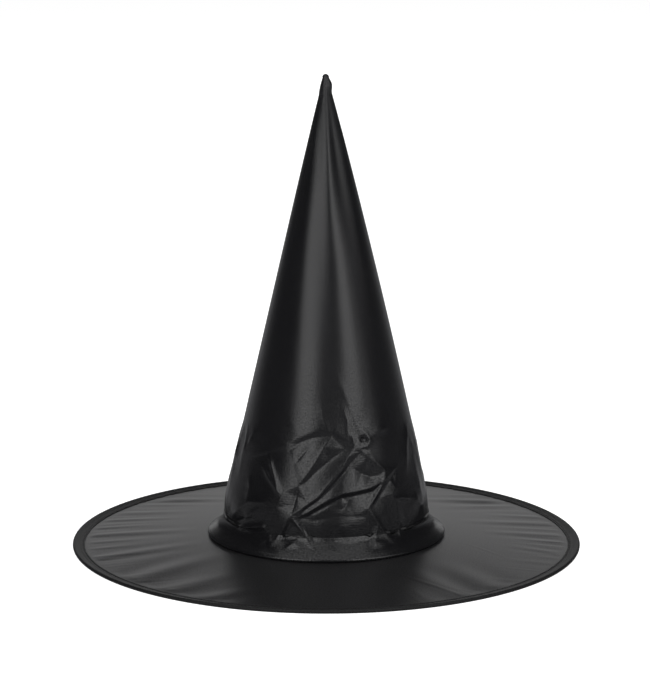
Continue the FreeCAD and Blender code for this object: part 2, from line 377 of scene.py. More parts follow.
coneShape = {
    "waist": ((76.5, 21.7), (75.3, 35.5), (73.0, 47.9)),  # radius and height, an arc through three points
    "side": ((73.0, 47.9), (41.9, 186.0), (5.3, 338.1)),
    "nub": ((5.3, 338.1), (4.0, 346.0), (2.4, 351.5)),
    "flareRadius": 13.0,
    "skirtSlope": 34.0,  # degrees, of the cloth between the flare and the rolled hoop
    "turnedEdge": 84.5,
    "satin": 0.4,
    "columns": 410,
    # rows of the turned edge, roll, skirt, flare, waist, crumpled part, middle, top, nub and cap
    "rows": (3, 9, 5, 9, 34, 80, 16, 20, 12, 4),
    "innerSteps": (2, 2, 2, 2, 7, 7, 5, 5, 3, 2),  # the inner face has one row in so many
    "crumpledTo": 0.22,  # of the way up the side
    "middleTo": 0.40,
    "capEnd": 0.12,  # radians, from the axis to the last row of the cap
}

ringHeight = (wireLow[2] + wireHigh[2]) / 2
wireRadius = (wireHigh[2] - wireLow[2]) / 2
ringRadius = wireHigh[0] - wireRadius
rollRadius = satinHigh[0] - ringRadius
straightTop = 360.8  # where the cone's side would meet the axis if it were straight
coneAngle = math.atan(73.0 / (straightTop - 47.9))


def coneOutline(shape):
    # radius and height of each row, from the turned edge in the head opening to the tip: straight
    # lines, arcs through three points, and a round cap
    (edgeRows, rollRows, skirtRows, flareRows, waistRows, crumpledRows, middleRows, topRows, nubRows,
     capRows) = shape["rows"]
    ring, flare = np.array([ringRadius, ringHeight]), shape["flareRadius"]
    edge = np.linspace(shape["turnedEdge"], ringRadius, edgeRows + 1)[:-1]
    turned = np.stack([edge, np.full(edgeRows, ringHeight - rollRadius)], -1)
    # the skirt leaves the roll square to this direction, and the flare's arc touches skirt and waist
    lean = math.radians(90 - shape["skirtSlope"])
    square = np.array([math.cos(lean), math.sin(lean)])
    roll = circleAt(ring, rollRadius, np.linspace(-math.pi / 2, lean, rollRows + 1)[:-1])
    leave = ring + rollRadius * square
    centre = np.array([shape["waist"][0][0] + flare, 0.0])
    centre[1] = leave[1] + (flare - square[0] * (centre[0] - leave[0])) / square[1]
    meet = centre - flare * square
    skirt = leave + np.linspace(0, 1, skirtRows, endpoint=False)[:, None] * (meet - leave)
    sweep = circleAt(centre, flare, np.linspace(lean + math.pi, math.pi, flareRows))
    waist = arcPoints(*shape["waist"], np.linspace(0, 1, waistRows + 2)[1:-1])
    stops = (0, shape["crumpledTo"], shape["middleTo"], 1)
    share = np.concatenate([np.linspace(low, high, rows, endpoint=False) for low, high, rows in
                            zip(stops, stops[1:], (crumpledRows, middleRows, topRows))])
    side = arcPoints(*shape["side"], share)
    nub = arcPoints(*shape["nub"], np.linspace(0, 1, nubRows))
    start = shape["nub"][2]
    rise = tipHeight - start[1]
    capRadius = (start[0] ** 2 + rise**2) / (2 * rise)
    angle = np.linspace(math.atan2(start[0], capRadius - rise), shape["capEnd"], capRows + 1)[1:]
    cap = np.stack([capRadius * np.sin(angle), tipHeight - capRadius + capRadius * np.cos(angle)], -1)
    return np.concatenate([turned, roll, skirt, sweep, waist, side, nub, cap])


def outlineNormals(outline):
    # square to the outline, pointing out of the cloth
    along = np.gradient(outline, axis=0)
    along /= np.linalg.norm(along, axis=1, keepdims=True)
    return np.stack([along[:, 1], -along[:, 0]], -1)


# Fold lines of the crumpled cloth at the hat's front, each a path of degrees from the front,
# positive towards +X, height, and offset from the plain cone. Between them the cloth is taut.
foldLines = [
    # two soft hollows and ridges at the top, left of the knot
    [(-26, 90, 0.5), (-18, 95, 0.9), (-12, 98, 1.0), (-5, 100, 0.9), (4, 101, 0.4)],
    [(-25, 86, -0.1), (-18, 92, -0.4), (-12, 95, -0.5), (-5, 97, -0.5), (3, 98, -0.3)],
    # a long ridge down to the left, and the valley beside it
    [(3, 98, -0.3), (-2, 89, 1.1), (-8, 77, 2.0), (-14, 66, 1.9), (-17, 61, 1.2)],
    [(16, 92, 0.0), (11, 88, -0.6), (1, 80, -0.7), (-7, 72, -0.2), (-12, 65, 0.4), (-17, 61, 1.2)],
    # a second ridge from the knot, and its steep foot
    [(18, 88, 1.4), (13, 82, 2.4), (8, 72, 2.8), (1, 62, 2.8), (-5, 53, 2.7), (-10, 49, 2.5),
     (-15, 44, 2.1), (-20, 40, 1.5)],
    [(21, 84, 0.9), (15, 78, 0.2), (10, 70, 0.0), (4, 62, 0.6), (-2, 55, 1.0), (-7, 49, 1.1),
     (-13, 43, 0.9)],
    # the great fold, which hangs over its own foot
    [(36, 62, 2.6), (30, 60, 2.7), (23, 58, 2.9), (16, 57, 3.1), (9, 56, 3.1), (2, 52, 3.0),
     (-5, 47, 2.6), (-10, 43, 2.0), (-14, 40, 1.2)],
    [(33, 59, 0.5), (29, 56, 0.2), (16, 54, 0.0), (9, 53, -0.3), (2, 49, -0.3), (-5, 44, 0.0),
     (-10, 40, 0.3), (-14, 38, 0.5)],
    [(9, 50, 0.9), (0, 46, 0.9), (-6, 42, 0.8)],
    [(-14, 38, 0.5), (-7, 37, 0.1), (2, 39, -0.1), (8, 40, 0.0), (16, 39, 0.4), (22, 39, 0.9)],
    [(14, 53, 0.1), (12, 49, -0.4), (10, 45, -0.3)],
    # the fold that ends in a spike at its upper right, and its foot
    [(49, 70, 0.6), (42, 66, 1.8), (36, 62, 2.6), (30, 53, 2.5), (24, 44, 1.9)],
    [(44, 64, 0.4), (39, 59, 0.5), (32, 51, 0.4), (28, 46, 0.5)],
    # two ridges that run on down from it
    [(24, 44, 1.9), (27, 38, 1.9), (30, 32, 1.7), (34, 24, 1.3), (38, 18, 0.6)],
    [(31, 38, 0.7), (34, 30, 0.5), (39, 22, 0.3)],
    [(30, 32, 1.7), (28, 23, 1.3), (25, 14, 0.6)],
    [(26, 30, 0.3), (24, 21, 0.0), (22, 16, 0.2)],
    # the low panel between them and the ridge at its left
    [(-19, 37, 1.5), (-13, 29, 1.9), (-10, 22, 1.6), (-6, 16, 0.8)],
    [(-14, 34, 0.5), (-11, 29, 0.4), (-7, 22, 0.3), (-4, 17, 0.2)],
    [(5, 33, 0.8), (2, 24, 0.9), (1, 16, 0.5)],
    [(13, 31, 0.7), (19, 30, 0.7)],
    [(11, 19, -0.3), (18, 18, -0.3)],
    # the valley and ridges at the left
    [(-17, 61, 1.2), (-18, 54, 0.1), (-19, 47, 0.3), (-20, 40, 1.5)],
    [(-25, 56, 1.1), (-28, 49, 1.4), (-29, 44, 0.9)],
    [(-20, 40, 1.5), (-22, 37, 1.6), (-25, 28, 1.7), (-29, 18, 0.8)],
    [(-20, 34, 0.4), (-23, 26, 0.3), (-27, 18, 0.2)],
    # the bowl under the knot and the ridge at its right
    [(17, 73, -0.3), (22, 69, -1.7), (28, 66, -1.6), (33, 66, 0.2)],
    [(25, 84, 1.6), (27, 80, 1.2)],
    [(28, 84, 1.3), (32, 76, 1.4), (38, 69, 1.9), (36, 62, 2.6)],
    # the small puffed panel at the right, with ribs down and to the side
    [(41, 61, 1.4), (45, 55, 2.2)],
    [(45, 55, 2.2), (42, 52, 3.0), (42, 48, 2.5), (44, 41, 2.0), (45, 30, 1.6), (44, 19, 0.7)],
    [(36, 44, 0.6), (39, 37, 0.3), (41, 27, 0.3)],
    [(48, 42, 0.7), (50, 34, 0.2), (50, 23, 0.0)],
    [(42, 48, 2.5), (50, 47, 1.7), (58, 44, 0.7)],
]
foldNetShape = {
    "angles": (-64, 76), "heights": (12, 118), "step": 14, "sideHeights": (40, 70, 95),  # its border
    "halfWidth": 110,  # on the flat cloth
    "rounding": 0.5,  # the folds are rounded over about this radius
    "share": 0.62,  # of the offsets
}
# lines whose mean offset is above the level pinch up, and the others sink
pinch = {"level": 0.95, "up": 0.35, "down": -0.25, "reach": 1.1, "ends": (0.4, 0.4)}

# Small creases that stand alone: the points each one follows, as degrees and height, its crest
# above the cloth, how far its left and right sides reach, seen from outside and walking from its
# first point, and how much is left of it at its two ends.
smallCreases = [
    ([(-45, 73), (-38, 65), (-29, 55)], 0.9, 1.3, 1.5, (0.1, 0.9)),
    ([(-41, 81), (-36, 71), (-30, 58)], 0.9, 1.2, 1.4, (0.1, 0.8)),
    ([(-70, 22), (-60, 36), (-50, 44), (-38, 46)], 1.1, 4.0, 5.0, (0.3, 0.6)),
    ([(-58, 20), (-50, 33), (-40, 42)], 0.7, 3.0, 4.0, (0.3, 0.3)),
    ([(-38, 14), (-33, 21), (-29, 15)], 0.9, 1.8, 1.8, (0.4, 0.4)),
    ([(-25, 12), (-20, 16), (-13, 24)], 0.9, 1.6, 2.2, (0.4, 0.3)),
    ([(23, 97), (19, 111), (13, 127), (4, 143)], 0.4, 2.6, 4.0, (0.9, 0.0)),
    ([(1, 99), (-2, 108), (-6, 120)], 0.35, 2.4, 3.4, (0.8, 0.0)),
    ([(14, 98), (14, 108), (10, 119)], 0.45, 2.0, 2.4, (0.8, 0.0)),
    ([(29, 95), (36, 98), (46, 99)], 0.7, 2.4, 2.4, (0.8, 0.1)),
    ([(-12, 90), (-16, 84), (-21, 76)], -0.7, 1.6, 2.4, (0.6, 0.1)),
    ([(68, 96), (62, 82), (58, 66)], 0.9, 2.2, 3.0, (0.1, 0.3)),
    ([(78, 92), (76, 70), (80, 50)], 0.9, 2.4, 3.0, (0.2, 0.3)),
    ([(64, 58), (70, 44), (72, 28)], 0.8, 3.0, 3.0, (0.2, 0.3)),
    ([(-84, 90), (-80, 68), (-79, 44)], 0.8, 2.6, 3.0, (0.1, 0.3)),
    ([(-70, 98), (-66, 78), (-68, 58)], 0.7, 3.0, 3.0, (0.0, 0.2)),
    ([(-55, 62), (-52, 54), (-53, 44)], 0.8, 3.0, 3.0, (0.2, 0.3)),
]
# the knot: a twisted loop round a small hollow, as a rim path and the hollow's place
knot = {
    "rim": ([(17, 96), (18, 91), (22, 88), (27, 89), (29, 92), (27, 97), (23, 101)],
            0.9, 1.0, 1.3, (0.6, 0.3)),
    "hollow": (24, 93.5), "depth": 1.6, "size": 1.8,
}
# where the gathered tip stands, in degrees, and which way its cloth faces there: two flats and a
# narrow pleat between them
tipFacing = [(-180, -180), (-88, -88), (-60, -57), (-30, -44), (-24, -34), (-20, -24), (-10, -10), (-5, -4),
             (1, 0), (4, 7), (9, 24), (14, 31), (60, 38), (78, 66), (90, 90), (180, 180)]
hiddenCreases = {
    "seed": 11, "count": 96, "angles": (64, 296), "heights": (17, 96), "lengths": (11, 36),
    "rises": (0.5, 1.6), "near": (1.6, 3.4), "far": (4.0, 9.0), "valleys": 0.35, "valleyDepth": -0.7,
    "lowest": 16.0, "leans": (0.15, 1.2), "kinks": (-0.5, 0.5), "mmPerDegree": 1.25, "ends": (0.1, 0.8),
}
creaseEdge = 0.45  # a crest is rounded over about this radius
creaseFull = (0.3, 0.7)  # of its length, between which it stands at its full height


def flatCone(degrees, height):
    # the cone's cloth cut open at the back and laid flat: slant distance from the tip, and its turn
    slant = (straightTop - np.asarray(height, float)) / math.cos(coneAngle)
    swing = np.radians(degrees) * math.sin(coneAngle)
    return np.stack([slant * np.sin(swing), -slant * np.cos(swing)], -1)


def creaseField(flat, crease):
    # height = rise x what is left at that place x exp(-distance / reach of that side)
    places, rise, leftReach, rightReach, ends = crease
    path = flatCone(*np.array(places, float).T)
    lengths = np.linalg.norm(np.diff(path, axis=0), axis=1)
    done = np.concatenate([[0], np.cumsum(lengths)]) / lengths.sum()
    best = np.full(flat.shape[:-1], 1e9)
    side = np.zeros_like(best)
    along = np.zeros_like(best)
    for k, length in enumerate(lengths):
        way = (path[k + 1] - path[k]) / length
        gone = flat - path[k]
        t = np.clip(gone @ way, 0, length)
        off = gone - t[..., None] * way
        distance = np.hypot(off[..., 0], off[..., 1])
        near = distance < best
        best = np.where(near, distance, best)
        side = np.where(near, way[0] * gone[..., 1] - way[1] * gone[..., 0], side)
        along = np.where(near, done[k] + t / length * (done[k + 1] - done[k]), along)
    left = np.interp(along, [0, *creaseFull, 1], [ends[0], 1, 1, ends[1]])
    reach = np.where(side > 0, leftReach, rightReach)
    return rise * left * np.exp(-(np.sqrt(best**2 + creaseEdge**2) - creaseEdge) / reach)


def pinchedLines(lines):
    # each fold line stands up as a thin crease if it is high, and sinks if it is low
    creases = []
    for line in lines:
        high = np.mean([offset for _, _, offset in line]) > pinch["level"]
        creases.append(([point[:2] for point in line], pinch["up" if high else "down"],
                        pinch["reach"], pinch["reach"], pinch["ends"]))
    return creases


def foldNet(flat):
    # the offsets of the fold lines, carried straight across the facets between them:
    # offset = share of corner 1 x its offset + the same for corners 2 and 3
    net = foldNetShape
    left, right = net["angles"]
    border = [(angle, z, 0.0) for angle in range(left, right + 1, net["step"]) for z in net["heights"]]
    border += [(angle, z, 0.0) for angle in (left, right) for z in net["sideHeights"]]
    points, offsets, edges = [], [], []
    for line in foldLines + [[point] for point in border]:
        for number, (degrees, z, offset) in enumerate(line):
            if number:
                edges.append((len(points) - 1, len(points)))
            points.append(Vector(flatCone(degrees, z)))
            offsets.append(offset)
    corners, _, facets, sources, _, _ = delaunay_2d_cdt(points, edges, [], 0, 0.01)
    level = [np.mean([offsets[k] for k in found]) if found else 0.0 for found in sources]
    total = np.zeros(flat.shape[:-1])
    ring = circleAt((0.0, 0.0), net["rounding"], np.arange(6) * turn / 6)
    taps = [(0.0, 0.0), *ring]  # each place is the mean of its own offset and six round it
    near = (flat[..., 1] > -straightTop) & (np.abs(flat[..., 0]) < net["halfWidth"])
    where = np.nonzero(near)
    for shift in taps:
        spots = flat[where] + shift
        value = np.zeros(len(spots))
        for facet in facets:
            a, b, c = (np.array(corners[k]) for k in facet)
            across, along, gone = b - a, c - a, spots - a
            area = across[0] * along[1] - across[1] * along[0]
            second = (gone[:, 0] * along[1] - gone[:, 1] * along[0]) / area
            third = (across[0] * gone[:, 1] - across[1] * gone[:, 0]) / area
            first = 1 - second - third
            within = (first >= 0) & (second >= 0) & (third >= 0)
            here = first * level[facet[0]] + second * level[facet[1]] + third * level[facet[2]]
            value = np.where(within, here, value)
        total[where] += value / len(taps)
    return total


def seededCreases(kind):
    # creases of two lengths with a kink between them, at random places of the side and back
    rng = np.random.default_rng(kind["seed"])
    creases = []
    for _ in range(kind["count"]):
        angle = rng.uniform(*kind["angles"])
        height = rng.uniform(*kind["heights"]) * rng.uniform(0.75, 1.0)
        length = rng.uniform(*kind["lengths"])
        lean = rng.choice([-1, 1]) * rng.uniform(*kind["leans"])  # from upright, in radians
        kink = rng.uniform(*kind["kinks"])
        path, point = [], np.array([angle - 360 * (angle > 180), max(height, kind["lowest"])])
        for part in range(3):
            path.append(tuple(point))
            way = lean + kink * part
            way = np.array([math.sin(way) / kind["mmPerDegree"], math.cos(way)])
            point = point + way * length / 2
        near, far = rng.uniform(*kind["near"]), rng.uniform(*kind["far"])
        sides = (near, far) if rng.random() < 0.5 else (far, near)
        rise = rng.uniform(*kind["rises"])
        rise *= kind["valleyDepth"] if rng.random() < kind["valleys"] else 1
        creases.append((path, rise, *sides, tuple(rng.uniform(*kind["ends"], 2))))
    return creases


gather = {
    "starts": 215, "full": 320, "apex": 357.0, "flare": 0.23,  # heights, and radius per height
    "steps": 1441, "sides": (-85, 85), "closed": 150,  # degrees: the outline stays between the sides
}


def gatheredTip(degrees, height):
    # radius x the sum of tan(where the cloth stands - where it faces), closed again at the back
    stands = np.linspace(-180, 180, gather["steps"])
    faces = np.interp(stands, *zip(*tipFacing))
    growth = np.cumsum(np.tan(np.radians(stands - faces))) * math.radians(stands[1] - stands[0])
    sides = gather["sides"]
    level = np.interp(stands, sides, np.interp(sides, stands, growth))  # the outline stays
    closed = (growth - level) * (1 - smooth(np.abs(stands), sides[1], gather["closed"]))
    radius = (gather["apex"] - height) * gather["flare"]
    return radius * smooth(height, gather["starts"], gather["full"]) * np.interp(degrees, stands, closed)


def evenSides(degrees, share, width):
    # what is left of a relief that fades by a share at both sides, where the outline has to stay even
    return 1 - share * (bump(degrees, 90, width) + bump(degrees, -90, width))


def waves(angle, height, kinds):
    # the sum of rise x sin(count x angle + phase + height / pitch)
    return sum(rise * np.sin(count * angle + phase + height / pitch) for rise, count, phase, pitch in kinds)


coneCloth = {
    "mostFold": 4.2,  # deeper folds level off towards this
    # heights where the folds begin and where they are full, in front and beside, and where they end
    "begin": (11.5, 17.5), "full": (19.0, 33.0), "end": (140, 165),
    "front": {"fades": (25, 62), "rise": 1.7, "pucker": 0.25, "height": 17, "width": 4.5},
    # rise, count round the hat, phase, and height of one radian
    "flutes": [(0.35, 5, 0.9, math.inf), (0.3, 8, 2.1, 60)],
    "lowWaves": [(0.35, 4, 0.4, 30), (0.3, 7, 1.7, -22)],
    "seam": {"depth": 0.55, "pucker": 0.25, "pitch": 1.9, "width": 2.2},
    "lobes": [(0.12, 3, math.pi / 2, 9), (0.05, 7, math.pi / 2, -14)],
    "bulge": (0.8, 347.3, 3.3), "notch": (0.55, 340.8, 2.6),  # rise, height and width
}


def clothFolds(angle, height):
    # how far the cone's cloth stands off the plain cone, for a grid of angles and heights
    cloth, front, seam = coneCloth, coneCloth["front"], coneCloth["seam"]
    degrees = (np.degrees(angle) + 180) % 360 - 180
    flat = flatCone(degrees, height)
    total = np.zeros(flat.shape[:-1])
    for crease in seededCreases(hiddenCreases):
        total += creaseField(flat, crease)
    total *= evenSides(degrees, 0.7, 24)
    for crease in smallCreases + [knot["rim"]] + pinchedLines(foldLines):
        total += creaseField(flat, crease)
    centre = flatCone(*knot["hollow"])
    away = np.hypot(flat[..., 0] - centre[0], flat[..., 1] - centre[1])
    total += foldNetShape["share"] * foldNet(flat) - knot["depth"] * bump(away, 0, knot["size"])
    total = cloth["mostFold"] * np.tanh(total / cloth["mostFold"])
    sideways = smooth(np.abs(degrees), 38, 66)
    begin, full = (a + (b - a) * sideways for a, b in (cloth["begin"], cloth["full"]))
    total *= smooth(height, begin, full) * (1 - smooth(height, *cloth["end"]))
    # in front the cloth lies full over the corner above the hoop, with small puckers
    share = (1 - smooth(np.abs(degrees), *front["fades"])) * bump(height, front["height"], front["width"])
    total += share * (front["rise"] + front["pucker"] * np.sin(height / 3 + 9 * angle) * np.sin(23 * angle))
    # broad soft waves: slight flutes up the whole cone, stronger ones in its lower third
    soft = waves(angle, height, cloth["flutes"]) * evenSides(degrees, 0.7, 30)
    total += soft * smooth(height, 30, 110) * (1 - smooth(height, 300, 345))
    low = waves(angle, height, cloth["lowWaves"])
    total += low * smooth(height, 14, 34) * (1 - smooth(height, 60, 120))
    # the back seam draws the cloth in a little, with small puckers along it
    width = seam["width"] + 120 / (380 - np.minimum(height, 340))
    drawn = seam["depth"] + seam["pucker"] * np.sin(height / seam["pitch"])
    drawn = drawn * bump(np.abs(degrees), 180, width)
    total -= drawn * smooth(height, 15, 25) * (1 - smooth(height, 320, 350))
    # the nub: the bunched cloth makes three soft lobes, a bulge on one side and a notch under it
    total += gatheredTip(degrees, height)
    lobes = waves(angle, height, cloth["lobes"]) * smooth(height, 285, 335)
    total += lobes * np.clip((tipHeight - height) / 8, 0, 1)
    bulge, notch = (rise * bump(height, at, width) for rise, at, width in (cloth["bulge"], cloth["notch"]))
    return total + np.clip(np.sin(angle), 0, 1) * (bulge - notch)


def axisShift(height):  # the cone leans a hair to one side in the middle and back at the tip
    return 0.9 * np.sin(math.pi * height / 290) * smooth(height, 20, 90)


outline = coneOutline(coneShape)
normals = outlineNormals(outline)
coneAngles = columns(coneShape["columns"], frontFine)[None, :]
coneFolds = clothFolds(coneAngles, outline[:, 1:])
rowStarts = np.concatenate([[0], np.cumsum(coneShape["rows"])])
innerRows = np.concatenate([np.arange(first, last, step) for first, last, step in
                            zip(rowStarts, rowStarts[1:], coneShape["innerSteps"])] + [[len(outline) - 1]])
waistRow = rowStarts[4]  # the first row of the waist
straightRows = innerRows >= waistRow
coneTotal = np.concatenate([[0], np.cumsum(np.linalg.norm(np.diff(outline, axis=0), axis=1))])


def innerFolds(window=3):
    # the inner face stays under the lowest fold near it:
    # offset = mean over the window of the lowest offset in the window, then the lowest of three rows
    shifts = range(-window, window + 1)
    low = np.min([np.roll(coneFolds, shift, axis=1) for shift in shifts], axis=0)
    even = np.mean([np.roll(low, shift, axis=1) for shift in shifts], axis=0)
    ends = np.concatenate([innerRows[:1], innerRows, innerRows[-1:]])
    return np.stack([even[a : c + 1].min(axis=0) for a, c in zip(ends[:-2], ends[2:])])


linerFolds = innerFolds()


def linerAt(angle, height):
    # the inner face's offset at any angle and height, by straight lines between its points
    rows = np.interp(height, outline[innerRows[straightRows], 1], np.nonzero(straightRows)[0])
    turns = (angle + math.pi) % turn - math.pi
    cols = np.interp(turns, coneAngles[0], np.arange(coneAngles.size))
    i, j = np.minimum(rows.astype(int), len(innerRows) - 2), cols.astype(int)
    nextJ = (j + 1) % coneAngles.size
    low = linerFolds[i, j] * (1 - cols + j) + linerFolds[i, nextJ] * (cols - j)
    high = linerFolds[i + 1, j] * (1 - cols + j) + linerFolds[i + 1, nextJ] * (cols - j)
    return low + (high - low) * (rows - i)


def coneRadius(height):
    # the plain cone's radius at a height above the waist, by straight lines between the rows
    return np.interp(height, outline[waistRow:, 1], outline[waistRow:, 0])


def onCone(rows, folds):
    # points of some rows of the outline, moved out of the plain cone by folds
    radius, height = outline[rows, :1], outline[rows, 1:]
    out, up = normals[rows, :1] * folds, normals[rows, 1:] * folds
    return aroundHat(coneAngles, radius + out, height + up, axisShift(height))


def makeConeSatin():
    # a fine outer face and a plainer inner face, joined round the turned edge
    every = np.arange(len(outline))
    outer, inner = onCone(every, coneFolds), onCone(innerRows, linerFolds - coneShape["satin"])
    cols = coneAngles.size
    # the flat pattern's own directions: round the cone at the waist's radius, and up its side
    around = coneAngles * coneShape["waist"][0][0]
    uv = [pairs(around, coneTotal[rows, None]).reshape(-1, 2) for rows in (every, innerRows)]
    points, faces = [outer.reshape(-1, 3), inner.reshape(-1, 3)], gridFaces(len(outline), cols).tolist()
    start = outer.shape[0] * cols
    faces += (gridFaces(len(innerRows), cols)[:, ::-1] + start).tolist()
    first, nextOne = np.arange(cols), np.roll(np.arange(cols), -1)
    faces += np.stack([nextOne, first, first + start, nextOne + start], -1).tolist()
    apex = start + len(innerRows) * cols
    top, innerTop = first + start - cols, first + apex - cols
    faces += np.stack([top, np.roll(top, -1), np.full(cols, apex)], -1).tolist()
    faces += np.stack([np.roll(innerTop, -1), innerTop, np.full(cols, apex + 1)], -1).tolist()
    for grid, drop in ((outer, 0.02), (inner, 0.0)):
        points.append(grid[-1].mean(axis=0)[None] + np.array([[0, 0, drop]]))
        uv.append(np.array([[0.0, coneTotal[-1]]]))
    return makeMesh("coneSatin", np.concatenate(points), faces, coneSatinMaterial, np.concatenate(uv))


# depth is below the satin's outside, and rows stand closer at the foot by the power crowd
lining = {"columns": 300, "rows": 80, "depth": 0.5, "thickness": 0.4, "crowd": 1.35}


def makeInterlining():
    # the satin's inner face, moved square to the cone by the lining's depth
    angle = columns(lining["columns"], frontFine)[None, :]
    low, high = levelsOf("cone_lower_interlining")[0], levelsOf("cone_tip_interlining")[1]
    height = np.linspace(0, 1, lining["rows"]) ** lining["crowd"] * (high - low) + low
    radius = coneRadius(height)
    square = outlineNormals(np.stack([radius, height], -1))
    radius, height = radius[:, None], height[:, None]
    folds = linerAt(angle, height) - lining["depth"]
    out, up = square[:, :1] * folds, square[:, 1:] * folds
    grid = aroundHat(angle, radius + out, height + up, axisShift(height))
    uv = pairs(angle * coneShape["waist"][0][0], height)
    return thicken(makeSurface("coneInterlining", grid, interliningMaterial, uv), lining["thickness"])


backSeam = {
    "halfWidth": 6.0, "depth": 1.0, "columns": 17, "rows": 110, "thickness": 0.4,
    "ridge": 0.35, "edgeWave": 0.12, "wavePitch": 3.1,  # of the allowances' free edges
}


def makeBackSeam():
    # two pressed-open allowances: flat strips that meet in a valley on the seam line
    low, high = levelsOf("back_seam_lower")[0], levelsOf("back_seam_tip")[1]
    share = np.linspace(-1, 1, backSeam["columns"])[None, :]
    height = np.linspace(low, high, backSeam["rows"])[:, None]
    radius = coneRadius(height)
    half = np.minimum(backSeam["halfWidth"], radius * 0.35)
    angle = math.pi - share * (half / radius)
    edgeWave = backSeam["edgeWave"] * np.sin(height / backSeam["wavePitch"]) * (np.abs(share) > 0.8)
    ridge = backSeam["ridge"] * (1 - np.abs(share)) ** 0.5 + edgeWave
    folds = linerAt(angle, height) - backSeam["depth"] - ridge
    grid = aroundHat(angle, radius + folds, height, axisShift(height))
    uv = pairs(share * half, height)
    piece = makeSurface("backSeamAllowances", grid, coneSatinMaterial, uv, wrapCols=False)
    return thicken(piece, backSeam["thickness"], 1.0)


tipPlug = {
    "columns": 72, "rows": 26, "clear": 0.62, "least": 0.35,
    "pleats": 4.5, "pleatDepth": 0.5 / 8, "pleatLean": 12,  # half their number, depth per radius
    "hollow": (0.45, 4.0), "crown": (0.4, 0.05),  # share of the radius, and height beyond the end
}


def makeTipGather():
    # the bunched seam allowances: a plug with deep pleats, filling the inside of the tip
    low, high = levelsOf("tip_gather")
    angle = columns(tipPlug["columns"])[None, :]
    height = np.linspace(low, high, tipPlug["rows"])[:, None]
    radius = coneRadius(height)
    folds = np.minimum(clothFolds(angle, height), 0.0) - tipPlug["clear"]
    pleats = np.abs(np.sin(tipPlug["pleats"] * angle + height / tipPlug["pleatLean"])) - 1
    outer = np.maximum(radius + folds + tipPlug["pleatDepth"] * radius * pleats, tipPlug["least"])
    side = aroundHat(angle, outer, height, axisShift(height))
    ends = [aroundHat(angle, outer[end][None] * share, height[end] + beyond, axisShift(height[end]))
            for end, (share, beyond) in ((0, tipPlug["hollow"]), (-1, tipPlug["crown"]))]
    grid = np.concatenate([ends[0], side, ends[1]])
    points = grid.reshape(-1, 3)
    rows, cols = grid.shape[:2]
    faces = gridFaces(rows, cols).tolist()
    faces += [list(range(cols))[::-1], list(range((rows - 1) * cols, rows * cols))]
    return makeMesh("tipGather", points, faces, coneSatinMaterial, points[:, [0, 2]], 50)


coneSatin = makeConeSatin()
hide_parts("cone_lower_satin", "cone_bend_satin", "cone_tip_satin")
interlining = makeInterlining()
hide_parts("cone_lower_interlining", "cone_bend_interlining", "cone_tip_interlining")
seamAllowances = makeBackSeam()
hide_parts("back_seam_lower", "back_seam_bend", "back_seam_tip")
for piece in (coneSatin, interlining, seamAllowances):
    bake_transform(piece)
tipGather = makeTipGather()
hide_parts("tip_gather")
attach(tipGather, "cone_tip")
print("cone made")


brim = {
    "columns": 720,
    "rows": 62,
    "innerEdge": 84.5,
    "slopeStart": 88.75,  # the panels rise evenly from the binding to here
    "cloth": 0.4,
    "gap": 0.05,
    "crowd": 1.25,  # rows stand closer at the binding by this power
    "clothMiddle": 190,  # the flat cloth is measured from its corner
}
puckerKind = {
    "seed": 5, "count": 150, "rises": (0.01, 0.07), "reaches": (14, 60), "widths": (6, 15), "under": 0.8,
}
panelLow, panelHigh = boxOf("brim_top_panel")
brimRadius = boxOf("brim_edge_binding")[1][0]
bindingEdge = brimRadius - 9.0  # the tape's inner edge
panelEdge = panelHigh[0]
brimTop = panelHigh[2]
flatTop = panelLow[2] + brim["cloth"]


def brimHeight(radius):
    # the top cloth's upper face: level at the cone's foot, an even slope, level in the binding
    return np.interp(radius, [brim["slopeStart"], bindingEdge - 0.2], [brimTop, flatTop])


def foldWave(off, width):
    # a ridge with a shallow valley on each side: cos(2 pi d / width) exp(-(1.6 d / width)^2)
    return np.cos(turn * off / width) * np.exp(-((1.6 * off / width) ** 2))


def beside(angle, radius, start, way):
    # how far each place lies along a line from its start, and how far beside it
    across, back = radius * np.sin(angle) - start[0], -radius * np.cos(angle) - start[1]
    return across * way[0] + back * way[1], across * way[1] - back * way[0]


def puckers(angle, radius, seed):
    # short folds that start at the binding and fade inwards, most of them square to the sides:
    # rise x an S up and down along the fold x the fold's wave across it
    rng = np.random.default_rng(seed)
    total = np.zeros(np.broadcast(angle, radius).shape)
    for _ in range(puckerKind["count"]):
        at = rng.uniform(0, turn)
        sideways = abs(math.sin(at))
        rise = rng.uniform(*puckerKind["rises"]) * (0.35 + 0.65 * smooth(sideways, 0.3, 0.8))
        reach, width = rng.uniform(*puckerKind["reaches"]), rng.uniform(*puckerKind["widths"])
        start = np.array([bindingEdge * math.sin(at), -bindingEdge * math.cos(at)])
        share = 0.75 * smooth(sideways, 0.35, 0.75)
        way = share * np.array([-math.copysign(1, start[0]), 0.0]) - (1 - share) * start / bindingEdge
        gone, off = beside(angle, radius, start, way / np.linalg.norm(way))
        total += rise * smooth(gone, -8, 4) * (1 - smooth(gone, 0.2 * reach, reach)) * foldWave(off, width)
    return total * smooth(bindingEdge - radius, 0.2, 5)


def longFolds(angle, radius, kinds):
    # soft folds that run far over the brim: rise x an S up and down along a straight line x the
    # fold's wave across it
    total = np.zeros(np.broadcast(angle, radius).shape)
    for start, end, rise, width in kinds:
        way = np.subtract(end, start)
        length = math.hypot(*way)
        gone, off = beside(angle, radius, start, way / length)
        ends = smooth(gone, -14, 14) * (1 - smooth(gone, 0.35 * length, length + 12))
        total += rise * ends * foldWave(off, width)
    return total * smooth(bindingEdge - radius, 0.3, 7) * smooth(radius, 90, 100)


